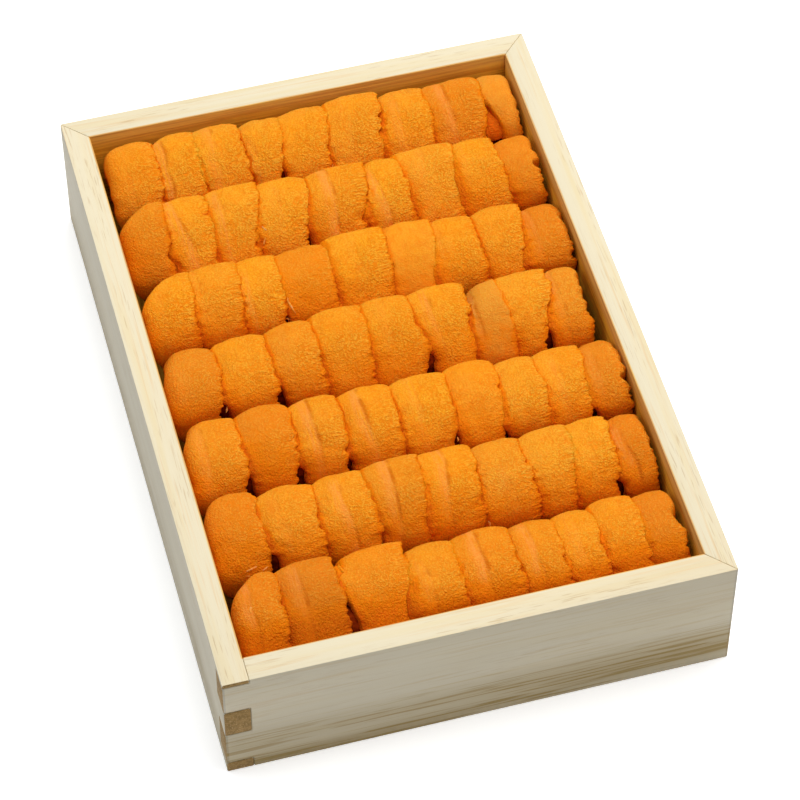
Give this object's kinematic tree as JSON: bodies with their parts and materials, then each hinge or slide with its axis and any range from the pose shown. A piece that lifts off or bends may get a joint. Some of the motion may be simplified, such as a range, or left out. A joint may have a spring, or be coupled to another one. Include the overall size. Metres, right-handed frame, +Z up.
{
  "type": "sea urchin roe in a wooden tray",
  "caption": "Open wooden tray packed to the rim with arched tongues of orange sea urchin roe laid in rows.",
  "frame": {"origin": "on the surface that the tray stands on, under the middle of the tray", "axes": "+Z up, +X to the tray's right along the rows of roe, +Y to the tray's back, away from the finger joint"},
  "size_m": [0.115, 0.166, 0.034],
  "materials": {
    "wood": "matte",
    "roe": "satin"
  },
  "bodies": {
    "root": {"board_front": "wood", "board_left": "wood", "board_right": "wood", "board_back": "wood", "board_bottom": "wood", "roe_row_1": "roe", "roe_row_2": "roe", "roe_row_3": "roe", "roe_row_4": "roe", "roe_row_5": "roe", "roe_row_6": "roe", "roe_row_7": "roe"}
  },
  "joints": []
}
